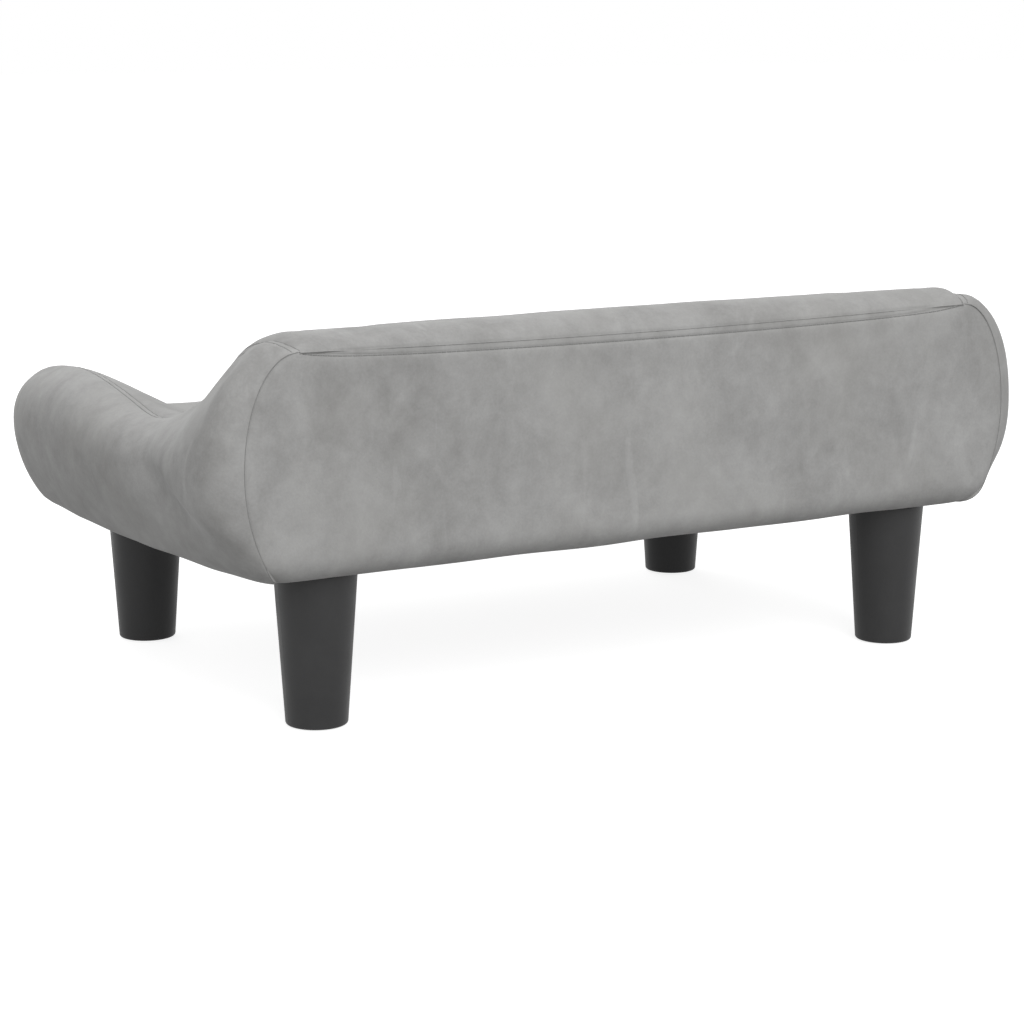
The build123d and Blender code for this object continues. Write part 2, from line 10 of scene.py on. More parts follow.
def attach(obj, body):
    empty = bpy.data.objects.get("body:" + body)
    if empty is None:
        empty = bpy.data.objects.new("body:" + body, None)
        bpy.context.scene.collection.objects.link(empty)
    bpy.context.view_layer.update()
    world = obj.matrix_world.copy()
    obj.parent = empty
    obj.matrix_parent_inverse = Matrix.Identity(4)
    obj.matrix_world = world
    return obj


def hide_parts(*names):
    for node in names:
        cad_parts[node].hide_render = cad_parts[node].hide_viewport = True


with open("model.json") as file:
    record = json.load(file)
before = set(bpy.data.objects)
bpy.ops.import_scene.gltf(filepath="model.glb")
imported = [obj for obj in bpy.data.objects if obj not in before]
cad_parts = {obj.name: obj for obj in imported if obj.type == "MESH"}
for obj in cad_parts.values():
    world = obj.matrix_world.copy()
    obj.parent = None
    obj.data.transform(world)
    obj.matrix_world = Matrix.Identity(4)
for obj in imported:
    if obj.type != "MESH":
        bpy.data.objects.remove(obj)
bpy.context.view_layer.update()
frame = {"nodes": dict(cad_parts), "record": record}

MM = 0.001
FINE_ROWS = 900


# Curves and grids.

def spline(knots, rows, at):
    """Natural cubic spline through rows of numbers at knots, read at the places in at."""
    knots = np.asarray(knots, float)
    rows = np.asarray(rows, float)
    count = len(knots)
    step = np.diff(knots)
    system = np.eye(count)
    right = np.zeros_like(rows)
    for i in range(1, count - 1):
        system[i, i - 1] = step[i - 1]
        system[i, i] = 2 * (step[i - 1] + step[i])
        system[i, i + 1] = step[i]
        right[i] = 6 * ((rows[i + 1] - rows[i]) / step[i] - (rows[i] - rows[i - 1]) / step[i - 1])
    bend = np.linalg.solve(system, right)
    at = np.asarray(at, float)
    k = np.clip(np.searchsorted(knots, at) - 1, 0, count - 2)
    h = step[k][:, None]
    a = (knots[k + 1] - at)[:, None] / h
    b = (at - knots[k])[:, None] / h
    return (a * rows[k] + b * rows[k + 1]
            + ((a ** 3 - a) * bend[k] + (b ** 3 - b) * bend[k + 1]) * h ** 2 / 6)


def along(points):
    """Distance run from the first point to each point of a polyline."""
    return np.concatenate([[0.0], np.cumsum(np.linalg.norm(np.diff(points, axis=0), axis=1))])


def resample(points, where):
    """Points of a polyline at the given distances from its start."""
    run = along(points)
    return np.stack([np.interp(where, run, points[:, k]) for k in range(points.shape[1])], axis=1)


# Places of mesh lines beside a seam, and the distance of its stitched line from it, mm.
SEAM_STEPS = np.array([0.0, 0.5, 1.1, 1.9, 3.0, 4.2, 5.0, 5.6, 6.2, 7.2, 8.8, 11.5, 15.0])
STITCH = 5.6


def spaced(length, step, first=True, last=True):
    """Distances from 0 to length, close together at the seams at either end."""
    head = SEAM_STEPS if first else np.array([0.0])
    tail = length - SEAM_STEPS[::-1] if last else np.array([length])
    count = max(2, int(round((tail[0] - head[-1]) / step)))
    return np.concatenate([head[:-1], np.linspace(head[-1], tail[0], count + 1)[:-1], tail])


def even_rows(knots, rows, line, step, last=True):
    """Spline rows at even steps along the path that line picks from them, and how far along each is."""
    dense = np.linspace(0, knots[-1], FINE_ROWS)
    run = along(line(spline(knots, rows, dense)))
    stops = spaced(run[-1], step, last=last)
    return spline(knots, rows, np.interp(stops, run, dense)), stops


def normals(grid, axis):
    """Unit normals of a grid of points, turned so that its middle one points along the axis."""
    du = np.gradient(grid, axis=0)
    dv = np.gradient(grid, axis=1)
    n = np.cross(du, dv)
    n /= np.maximum(np.linalg.norm(n, axis=2, keepdims=True), 1e-9)
    return n if n[grid.shape[0] // 2, grid.shape[1] // 2, axis] > 0 else -n


def fade(distance, over):
    """0 at distance 0, rising evenly to 1 over the given length."""
    return np.clip(distance / over, 0, 1)


def hump(distance, width):
    """1 at distance 0, falling softly to nothing within about twice the width."""
    return np.exp(-(distance / width) ** 2)


def swell(grid, scale, depth, seed):
    """Soft uneven filling: smooth noise in space, of that scale in mm and depth in mm."""
    out = np.zeros(grid.shape[:2])
    shift = Vector((seed * 3.7, seed * 1.3, seed * 5.1))
    for i in range(grid.shape[0]):
        for j in range(grid.shape[1]):
            out[i, j] = noise.noise(Vector(grid[i, j]) / scale + shift)
    return out * depth


def ripple(grid, distance, pitch, seed):
    """Uneven gathers of that pitch along a seam, from -1 to 1."""
    return np.sin(distance / pitch * 2 * math.pi + 2.0 * swell(grid, scale=40.0, depth=2.0, seed=seed))


def seam_dip(distance, depth):
    """How far cloth is drawn in at that distance from its seam."""
    return depth * (1.5 * hump(distance, width=1.1) + 1.0 * hump(distance, width=4.5))


def taut(y):
    """Share of a wing seam's groove at y: the cloth is pulled smooth at the rear end."""
    return np.clip((205.0 - y) / 35.0, 0.15, 1)


# Making pieces.

def new_object(name, verts, faces):
    mesh = bpy.data.meshes.new(name)
    mesh.from_pydata([tuple(v) for v in verts], [], faces)
    mesh.validate()
    obj = bpy.data.objects.new(name, mesh)
    bpy.context.collection.objects.link(obj)
    return obj


def outward(obj):
    """Joins points that coincide and turns the faces outwards."""
    bm = bmesh.new()
    bm.from_mesh(obj.data)
    bmesh.ops.remove_doubles(bm, verts=bm.verts, dist=0.00002)
    bmesh.ops.recalc_face_normals(bm, faces=bm.faces)
    bm.to_mesh(obj.data)
    bm.free()


def smooth(obj):
    obj.data.polygons.foreach_set("use_smooth", [True] * len(obj.data.polygons))


def subdivide(obj, levels=1):
    modifier = obj.modifiers.new("even", "SUBSURF")
    modifier.levels = levels
    modifier.render_levels = levels
    apply_modifiers(obj)


def apply_modifiers(obj):
    graph = bpy.context.evaluated_depsgraph_get()
    graph.update()
    mesh = bpy.data.meshes.new_from_object(obj.evaluated_get(graph))
    obj.modifiers.clear()
    old = obj.data
    obj.data = mesh
    bpy.data.meshes.remove(old)


def closed_pad(name, skin, lining):
    """Closed form between an outer grid and an inner grid of the same counts, in mm."""
    rows, cols = skin.shape[:2]
    verts = np.concatenate([skin.reshape(-1, 3), lining.reshape(-1, 3)]) * MM
    back = rows * cols
    faces = []
    for i in range(rows - 1):
        for j in range(cols - 1):
            a = i * cols + j
            faces.append((a, a + 1, a + cols + 1, a + cols))
            faces.append((back + a, back + a + cols, back + a + cols + 1, back + a + 1))
    border = [i * cols for i in range(rows)]
    border += [(rows - 1) * cols + j for j in range(1, cols)]
    border += [i * cols + cols - 1 for i in range(rows - 2, -1, -1)]
    border += [j for j in range(cols - 2, 0, -1)]
    for a, b in zip(border, border[1:] + border[:1]):
        faces.append((a, b, back + b, back + a))
    obj = new_object(name, verts, faces)
    outward(obj)
    smooth(obj)
    obj.data.set_sharp_from_angle(angle=math.radians(50))
    return obj


def points_of(mesh):
    """Vertices of a mesh as rows, in m."""
    flat = np.zeros(len(mesh.vertices) * 3)
    mesh.vertices.foreach_get("co", flat)
    return flat.reshape(-1, 3)


def rod_mesh(paths, radius, sides=6):
    """Vertices in mm and faces of closed round rods along polylines, all in one mesh."""
    verts, faces = [], []
    for path in paths:
        path = np.asarray(path, float)
        tangent = np.gradient(path, axis=0)
        tangent /= np.maximum(np.linalg.norm(tangent, axis=1, keepdims=True), 1e-9)
        guide = np.array([0.31, 0.23, 0.92])
        side = np.cross(tangent, guide)
        side /= np.maximum(np.linalg.norm(side, axis=1, keepdims=True), 1e-9)
        other = np.cross(tangent, side)
        start = len(verts)
        for k, place in enumerate(path):
            for a in np.linspace(0, 2 * math.pi, sides, endpoint=False):
                verts.append(place + radius * (math.cos(a) * side[k] + math.sin(a) * other[k]))
        for k in range(len(path) - 1):
            for a in range(sides):
                b = (a + 1) % sides
                low, high = start + k * sides, start + (k + 1) * sides
                faces.append((low + a, low + b, high + b, high + a))
        faces.append(tuple(start + a for a in range(sides))[::-1])
        faces.append(tuple(start + (len(path) - 1) * sides + a for a in range(sides)))
    return verts, faces


def rods(name, paths, radius, sides=6):
    verts, faces = rod_mesh(paths, radius, sides)
    obj = new_object(name, np.array(verts) * MM, faces)
    smooth(obj)
    return obj


def stitches(path, length=3.2, gap=0.6):
    """Short runs of thread along a sewn line, each dipping into the cloth at its ends."""
    run = along(path)
    starts = np.arange(1.5, run[-1] - length - 1.5, length + gap)
    return [resample(path, np.linspace(a, a + length, 4)) for a in starts]


def mirror_path(path):
    return path * np.array([-1.0, 1.0, 1.0])


def mirrored(obj, name):
    """The same piece on the other wing."""
    mesh = obj.data.copy()
    mesh.transform(Matrix.Scale(-1, 4, Vector((1, 0, 0))))
    mesh.flip_normals()
    twin = bpy.data.objects.new(name, mesh)
    bpy.context.collection.objects.link(twin)
    return twin


def dress(obj, material, slot, *nodes, fill=None):
    """Gives a piece its material and hides the CAD nodes that it replaces. The slot and fill are not used."""
    obj.data.materials.clear()
    obj.data.materials.append(material)
    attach(obj, "root")
    if nodes:
        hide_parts(*nodes)


# Materials.

class Nodes:
    """Short way to add and link shader nodes."""

    def __init__(self, name):
        self.material = bpy.data.materials.new(name)
        self.material.use_nodes = True
        self.tree = self.material.node_tree
        self.shader = self.tree.nodes["Principled BSDF"]

    def add(self, kind, inputs=None, **settings):
        node = self.tree.nodes.new(kind)
        for key, value in settings.items():
            setattr(node, key, value)
        for key, value in (inputs or {}).items():
            if isinstance(value, bpy.types.NodeSocket):
                self.tree.links.new(value, node.inputs[key])
            else:
                node.inputs[key].default_value = value
        return node

    def noise(self, vector, scale, detail=3.0, rough=0.5, distortion=0.0):
        return self.add("ShaderNodeTexNoise", {"Vector": vector, "Scale": scale, "Detail": detail,
                                               "Roughness": rough, "Distortion": distortion}).outputs["Fac"]

    def band(self, value, low, high, to_low=0.0, to_high=1.0):
        return self.add("ShaderNodeMapRange", {"Value": value, "From Min": low, "From Max": high,
                                               "To Min": to_low, "To Max": to_high}).outputs["Result"]

    def maths(self, operation, a, b=0.0):
        return self.add("ShaderNodeMath", {0: a, 1: b}, operation=operation).outputs[0]

    def mix(self, fac, a, b):
        node = self.tree.nodes.new("ShaderNodeMix")
        node.data_type = "RGBA"
        for socket, value in ((node.inputs[0], fac), (node.inputs[6], a), (node.inputs[7], b)):
            if isinstance(value, bpy.types.NodeSocket):
                self.tree.links.new(value, socket)
            else:
                socket.default_value = value
        return node.outputs[2]

    def stretch(self, vector, scale, turn=(0, 0, 0)):
        return self.add("ShaderNodeMapping", {"Vector": vector, "Scale": scale,
                                              "Rotation": turn}).outputs["Vector"]

    def set(self, **values):
        for key, value in values.items():
            self.shader.inputs[key.replace("_", " ")].default_value = value

    def link(self, output, name):
        self.tree.links.new(output, self.shader.inputs[name])


def velvet_material():
    """Grey velvet: blotches and clouds of lighter pile, brushed streaks, and fine grain."""
    m = Nodes("velvet")
    place = m.add("ShaderNodeTexCoord").outputs["Object"]
    warp = m.noise(place, 9.0, 2.0)
    blotch = m.noise(m.stretch(place, (1.0, 1.0, 0.8)), 26.0, 5.0, 0.62, 0.35)
    cloud = m.noise(place, 7.5, 2.0, 0.5, 0.2)
    fleck = m.noise(place, 95.0, 3.0, 0.6, 0.3)
    streak_a = m.noise(m.stretch(place, (1.0, 1.0, 0.22), (0.0, 0.45, 0.0)), 46.0, 3.0, 0.55, 0.8)
    streak_b = m.noise(m.stretch(place, (1.0, 1.0, 0.2), (0.0, -0.5, 0.3)), 38.0, 3.0, 0.55, 0.8)
    grain = m.noise(place, 520.0, 2.0, 0.6)
    pile = m.noise(place, 1500.0, 2.0, 0.6)
    tone = m.maths("ADD", m.band(blotch, 0.3, 0.7, -0.55, 0.55), m.band(cloud, 0.3, 0.7, -0.35, 0.35))
    tone = m.maths("ADD", tone, m.band(fleck, 0.3, 0.7, -0.22, 0.22))
    brushed = m.maths("MAXIMUM", m.band(streak_a, 0.64, 0.76), m.band(streak_b, 0.65, 0.77))
    tone = m.maths("ADD", tone, m.maths("MULTIPLY", brushed, 0.55))
    tone = m.maths("ADD", tone, m.band(grain, 0.3, 0.7, -0.16, 0.16))
    dark, light, warm = (0.232, 0.230, 0.225, 1), (0.378, 0.377, 0.373, 1), (0.312, 0.308, 0.296, 1)
    colour = m.mix(m.band(tone, -1.0, 1.0), dark, light)
    m.link(m.mix(m.band(warp, 0.45, 0.7, 0.0, 0.35), colour, warm), "Base Color")
    m.link(m.band(grain, 0.3, 0.7, 0.78, 0.92), "Roughness")
    height = m.maths("ADD", m.maths("MULTIPLY", pile, 0.5), m.maths("MULTIPLY", grain, 0.8))
    bump = m.add("ShaderNodeBump", {"Height": height, "Strength": 0.22, "Distance": 0.0006})
    m.link(bump.outputs["Normal"], "Normal")
    m.set(Sheen_Weight=0.16, Sheen_Roughness=0.45, Specular_IOR_Level=0.12)
    m.shader.inputs["Sheen Tint"].default_value = (0.9, 0.9, 0.9, 1)
    return m.material


def thread_material():
    m = Nodes("thread")
    place = m.add("ShaderNodeTexCoord").outputs["Object"]
    twist = m.noise(place, 900.0, 2.0)
    m.link(m.mix(twist, (0.15, 0.15, 0.147, 1), (0.24, 0.239, 0.234, 1)), "Base Color")
    m.link(m.band(twist, 0.3, 0.7, 0.55, 0.75), "Roughness")
    return m.material


def plastic_material(name, dark, light):
    m = Nodes(name)
    place = m.add("ShaderNodeTexCoord").outputs["Object"]
    spark = m.noise(place, 1400.0, 2.0, 0.6)
    patch = m.noise(place, 30.0, 3.0, 0.6)
    m.link(m.mix(m.band(patch, 0.35, 0.65), dark, light), "Base Color")
    rough = m.maths("ADD", m.band(spark, 0.3, 0.7, 0.42, 0.52), m.band(patch, 0.35, 0.65, -0.03, 0.05))
    m.link(rough, "Roughness")
    bump = m.add("ShaderNodeBump", {"Height": spark, "Strength": 0.12, "Distance": 0.0002})
    m.link(bump.outputs["Normal"], "Normal")
    m.set(Specular_IOR_Level=0.26)
    return m.material


def plywood_material():
    m = Nodes("plywood")
    place = m.add("ShaderNodeTexCoord").outputs["Object"]
    figure = m.noise(m.stretch(place, (3.0, 40.0, 40.0)), 4.0, 4.0, 0.55, 1.2)
    fibre = m.noise(m.stretch(place, (12.0, 400.0, 400.0)), 3.0, 2.0)
    wood = m.mix(m.band(figure, 0.3, 0.7), (0.62, 0.44, 0.25, 1), (0.76, 0.60, 0.40, 1))
    wood = m.mix(m.band(fibre, 0.45, 0.7, 0.0, 0.35), wood, (0.50, 0.34, 0.19, 1))
    m.link(wood, "Base Color")
    m.link(m.band(fibre, 0.3, 0.7, 0.62, 0.8), "Roughness")
    bump = m.add("ShaderNodeBump", {"Height": fibre, "Strength": 0.2, "Distance": 0.0004})
    m.link(bump.outputs["Normal"], "Normal")
    return m.material


def steel_material():
    m = Nodes("zinc_steel")
    place = m.add("ShaderNodeTexCoord").outputs["Object"]
    spangle = m.noise(place, 600.0, 3.0, 0.6)
    m.link(m.mix(spangle, (0.50, 0.51, 0.52, 1), (0.66, 0.67, 0.68, 1)), "Base Color")
    m.link(m.band(spangle, 0.3, 0.7, 0.26, 0.42), "Roughness")
    m.set(Metallic=1.0)
    return m.material


def lining_cloth_material():
    m = Nodes("underlining")
    place = m.add("ShaderNodeTexCoord").outputs["Object"]
    fibres = m.noise(m.stretch(place, (1.0, 1.0, 0.3)), 900.0, 4.0, 0.7, 1.5)
    dots = m.add("ShaderNodeTexVoronoi", {"Vector": place, "Scale": 700.0}).outputs["Distance"]
    m.link(m.mix(m.band(fibres, 0.35, 0.7), (0.016, 0.016, 0.017, 1), (0.05, 0.05, 0.052, 1)), "Base Color")
    m.link(m.band(dots, 0.0, 0.6, 0.72, 0.95), "Roughness")
    bump = m.add("ShaderNodeBump", {"Height": dots, "Strength": 0.3, "Distance": 0.0003})
    m.link(bump.outputs["Normal"], "Normal")
    return m.material


velvet = velvet_material()
thread = thread_material()
leg_plastic = plastic_material("leg_plastic", (0.026, 0.026, 0.0265, 1), (0.032, 0.032, 0.0325, 1))
glide_plastic = plastic_material("glide_plastic", (0.014, 0.014, 0.015, 1), (0.022, 0.022, 0.023, 1))
plywood = plywood_material()
zinc_steel = steel_material()
underlining = lining_cloth_material()

by_slot = {"velvet": velvet, "foam": velvet, "underlining": underlining, "plywood": plywood,
           "leg_plastic": leg_plastic, "glide_plastic": glide_plastic, "zinc_steel": zinc_steel}
slot_of = {row["node"]: row["material_slot"] for row in frame["record"]["subparts"]}
for node_name, node in frame["nodes"].items():
    node.data.materials.clear()
    node.data.materials.append(by_slot[slot_of[node_name]])


# Anchors from the frame and the sizes of the cloth forms, mm.

X, Y, Z = range(3)


def edge_of(node, axis, side):
    """Lowest (side is min) or highest (side is max) place of a CAD node along an axis, to 0.1 mm."""
    corners = [frame["nodes"][node].matrix_world @ Vector(c) for c in frame["nodes"][node].bound_box]
    return round(side(corner[axis] for corner in corners) / MM, 1)


# Rear face of the bed, inner edge of the wings' strips, and lower edge of the panels.
REAR = edge_of("rear_pad", Y, max)
INNER_EDGE = edge_of("right_wing_strip", X, min)
HEM = edge_of("base_panel", Z, min) - 0.2

# Round of the rear panel into its hem, how far its top seam sinks at the middle, and over what height.
HEM_ROUND = 20.0
SEAM_SAG = 3.5
SAG_RISE = 160.3

# Faces that the cloth lies on: outer side, rear and nose of the wing's core, and the seat deck.
CORE_SIDE = 283.6
CORE_REAR = 205.4
CORE_NOSE = -213.5
DECK = 149.4

# Each row: place of the wing's top seam, of its ridge, of its heel and of its toe, then how lean the
# roll between ridge and seam is, and how far the panel puffs up beside the seam.
WING_ROWS = [
    ((283.0, 225.0, 271.0), (325.0, 225.0, 190.0), (311.0, 224.0, 127.0), (294.0, 207.0, 110.8), 0.95, 0.0),
    ((287.5, 213.5, 274.2), (341.0, 214.5, 187.0), (316.5, 211.0, 123.5), (298.0, 200.0, 110.8), 0.85, 1.0),
    ((290.5, 202.0, 275.4), (348.0, 202.5, 185.0), (319.0, 197.0, 121.0), (303.0, 190.0, 110.8), 1.15, 2.0),
    ((294.0, 184.0, 272.6), (350.2, 184.0, 183.0), (321.5, 180.0, 120.0), (306.0, 176.0, 111.2), 2.05, 2.4),
    ((297.5, 169.0, 267.8), (349.8, 169.0, 182.2), (322.5, 167.0, 119.5), (308.0, 164.0, 111.2), 2.65, 0.9),
    ((299.5, 156.0, 259.0), (348.0, 156.0, 182.0), (323.0, 155.0, 119.0), (310.0, 153.0, 111.2), 2.60, 0.2),
    ((301.0, 135.0, 243.0), (345.6, 135.0, 181.0), (324.0, 134.0, 118.5), (312.0, 132.0, 111.0), 2.70, 0.0),
    ((302.0, 112.0, 227.5), (344.2, 112.0, 180.0), (325.0, 111.5, 118.0), (314.0, 110.0, 111.0), 2.40, 0.0),
    ((305.0, 85.0, 213.0), (345.6, 85.0, 180.0), (326.0, 85.0, 117.5), (315.0, 85.0, 111.0), 1.35, 0.3),
    ((307.0, 50.0, 205.0), (348.2, 50.0, 180.0), (327.0, 50.0, 117.0), (315.5, 50.0, 110.6), 0.62, 1.0),
    ((306.0, 10.0, 209.0), (349.8, 10.0, 180.0), (327.5, 10.0, 117.0), (316.0, 10.0, 110.6), 0.58, 1.6),
    ((304.0, -40.0, 216.0), (350.0, -40.0, 180.0), (328.0, -40.0, 117.0), (316.0, -40.0, 110.6), 0.60, 2.0),
    ((302.0, -90.0, 220.5), (350.0, -90.0, 180.0), (328.0, -90.0, 117.0), (316.0, -90.0, 110.6), 0.62, 2.2),
    ((300.5, -127, 220.0), (348.6, -130, 179.5), (328.0, -128, 117.0), (316.0, -124, 110.6), 0.62, 2.2),
    ((299.5, -158, 216.0), (343.8, -161, 178.0), (325.0, -157, 117.0), (314.0, -151, 110.8), 0.66, 2.0),
    ((298.0, -182, 209.0), (332.6, -190.5, 176.0), (316.5, -184, 117.5), (307.0, -176.5, 111.2), 0.70, 1.8),
    ((296.5, -198, 202.5), (318.6, -210, 174.5), (306.0, -203, 118.0), (298.0, -195, 111.2), 0.76, 1.4),
    ((294.0, -208.5, 196.0), (304.0, -220, 173.0), (295.5, -213.5, 118.5), (289.0, -205.5, 111.2), 0.84, 0.7),
    ((291.0, -215, 190.5), (290.5, -224.6, 172.0), (286.0, -218, 119.0), (282.5, -210, 111.2), 0.90, 0.2),
]
SEAM_END, _, SEAM_HEIGHT = WING_ROWS[0][0]

# Inner edge of the strip over the wing as y and z, from the rear to the nose and down it. The rows
# up to STRIP_TURN lie on the wing's top.
STRIP_EDGE = np.array([(INNER_EDGE, y, z) for y, z in (
    (225, 270.5), (213.5, 277.0), (202, 280.4), (184, 279.0), (169, 272.5), (156, 261.5),
    (135, 243.5), (112, 227.0), (85, 209.0), (50, 198.5), (10, 197.0), (-40, 198.5),
    (-90, 200.5), (-127, 201.0), (-158, 199.0), (-182, 195.0), (-198, 190.5), (-208.5, 186.5),
    (-215, 182.0), (-220.5, 176.0), (-223.6, 166.0), (-222.6, 148.0), (-217.5, 130.0), (-208, 111.0))])
STRIP_TURN = 20
STRIP_CROWN = np.array([0.0, 2.6, 3.0, 3.0, 2.8, 2.2, 1.8, 2.4, 3.0, 2.4, 1.2, 0.4, 0.0, 0.4, 1.2, 1.6,
                        2.0, 2.2, 2.4, 2.6, 2.6, 2.4, 2.2, 1.6])
NOSE_HEIGHTS = (182.0, 170.0, 150.0, 130.0, 111.4)

# Fold between the wing and the back: its line on the side panel as y and z, and its depth along it.
VALLEY = np.array([(225.0, 122.0), (208.0, 133.0), (165.0, 151.0), (114.0, 172.0), (88.0, 190.0),
                   (72.0, 208.0)])
VALLEY_DEPTH = np.array([0.0, 2.2, 5.6, 5.8, 4.0, 0.8])


# Wings.

def panel_section(top, ridge, heel, toe, lean):
    """Points from the top seam over the ridge and heel to the toe, in mm."""
    roll = np.linspace(math.pi / 2, 0, 60)[:, None]
    upper = np.concatenate([top[:2] + (ridge[:2] - top[:2]) * np.cos(roll) ** lean,
                            ridge[2] + (top[2] - ridge[2]) * np.sin(roll)], axis=1)
    out = np.linalg.norm(ridge[:2] - heel[:2])
    up = ridge[2] - heel[2]
    radius = (out ** 2 + up ** 2) / (2 * out)
    turn = math.atan2(up, radius - out)
    bend = np.linspace(0, turn, 40)[1:, None]
    flank = np.concatenate([ridge[:2] - (ridge[:2] - heel[:2]) * radius * (1 - np.cos(bend)) / out,
                            ridge[2] - radius * np.sin(bend)], axis=1)
    drop = heel[2] - toe[2]
    under = np.append(heel[:2] - (ridge[:2] - heel[:2]) / out * drop * math.tan(turn), toe[2])
    tuck = np.linspace(0, 1, 14)[1:, None]
    hem = heel * (1 - tuck) ** 2 + under * 2 * tuck * (1 - tuck) + toe * tuck ** 2
    return np.concatenate([upper, flank, hem])


def row_section(row):
    """Section of the side panel at one of the guide rows."""
    return panel_section(*(np.array(place) for place in row[:4]), row[4])


def wing_guide():
    """Close guide rows from the rear seam to the nose, and how far along the ridge each one is."""
    tops, ridges, heels, toes = (np.array([row[k] for row in WING_ROWS]) for k in range(4))
    shapes = np.array([row[4:] for row in WING_ROWS])
    rows = np.concatenate([tops, ridges, heels, toes, shapes], axis=1)
    return even_rows(along((tops + ridges) / 2), rows, lambda guide: guide[:, 3:6], step=4.2)


def section_grid(guide):
    """Points on the guide's sections, close together at the top seam, and how far each is from it."""
    sections = [panel_section(g[0:3], g[3:6], g[6:9], g[9:12], g[12]) for g in guide]
    lengths = [along(section)[-1] for section in sections]
    share = spaced(np.mean(lengths), step=4.0, last=False) / np.mean(lengths)
    head = len(SEAM_STEPS) - 1
    grid = np.zeros((len(sections), len(share), 3))
    from_top = np.zeros(grid.shape[:2])
    for i, section in enumerate(sections):
        scale = (lengths[i] - SEAM_STEPS[head]) / (lengths[i] * (1 - share[head]))
        where = lengths[i] - (1 - share) * lengths[i] * scale
        where[:head] = SEAM_STEPS[:head]
        grid[i] = resample(section, where)
        from_top[i] = where
    return grid, from_top


def valley_depth(y, z):
    """Depth of the fold between the wing and the back at places on the side panel."""
    run = along(VALLEY)
    fine = np.linspace(0, run[-1], 160)
    path = resample(VALLEY, fine)
    gap = np.sqrt((y[..., None] - path[:, 0]) ** 2 + (z[..., None] - path[:, 1]) ** 2)
    near = np.argmin(gap, axis=2)
    lie = np.gradient(path, axis=0)
    lie /= np.linalg.norm(lie, axis=1, keepdims=True)
    beside = lie[near, 0] * (z - path[near, 1]) - lie[near, 1] * (y - path[near, 0])
    width = 15.5 + 4.0 * np.tanh(beside / 10.0)
    deep = np.interp(fine, run, VALLEY_DEPTH)[near]
    return deep * hump(np.min(gap, axis=2), width) * fade(z - 112.0, over=26.0)


def behind_panel(grid, from_top, guide):
    """Face behind the side panel: flat on the wing's core, and kept below the strip at the top."""
    inner = grid.copy()
    inner[..., 0] = CORE_SIDE
    inner[..., 1] = np.clip(grid[..., 1], CORE_NOSE + 2.0, CORE_REAR - 0.9)
    edge = fade(from_top, over=12.0)
    inner[..., 2] = np.where(edge < 1, grid[..., 2] - 13.0 * (1 - 0.5 * edge), grid[..., 2])
    on_top = STRIP_EDGE[:STRIP_TURN]
    edge_z = np.interp(-guide[:, 1], -on_top[:, 1], on_top[:, 2])
    reach = np.clip((guide[:, 0] - CORE_SIDE) / (guide[:, 0] - INNER_EDGE), 0, 1)
    under_strip = np.minimum(guide[:, 2], guide[:, 2] + (edge_z - guide[:, 2]) * reach) - 5.0
    inner[..., 2] = np.clip(np.minimum(inner[..., 2], under_strip[:, None]), 112.3, None)
    return inner


def wing_panel():
    """Outer skin of the side panel, the face behind it and the stitched line beside its top seam."""
    guide, stops = wing_guide()
    grid, from_top = section_grid(guide)
    from_rear = np.repeat(stops[:, None], grid.shape[1], axis=1)
    from_nose = stops[-1] - from_rear
    out = normals(grid, X)
    y, z = grid[..., 1], grid[..., 2]
    puff = guide[:, 13]
    move = -valley_depth(y, z)
    move += puff[:, None] * hump(from_top - 15, width=9.0)
    move += swell(grid, scale=55.0, depth=1.6, seed=1) * fade(from_top, over=25) * fade(from_rear, over=25)
    move += 0.18 * ripple(grid, from_rear, pitch=11.0, seed=5) * hump(from_top, 9.0) * fade(from_rear, 20)
    move -= np.maximum(seam_dip(from_top, 0.6) * taut(y),
                       np.maximum(seam_dip(from_rear, 0.35), seam_dip(from_nose, 0.6)))
    move -= 0.5 * hump(from_top - STITCH, width=0.8)
    skin = grid + out * move[..., None]
    sewn = []
    for row, normal, distance in zip(skin, out, from_top):
        k = np.argmin(np.abs(distance - STITCH))
        sewn.append(row[k] + normal[k] * 0.12)
    return skin, behind_panel(skin, from_top, guide), np.array(sewn)


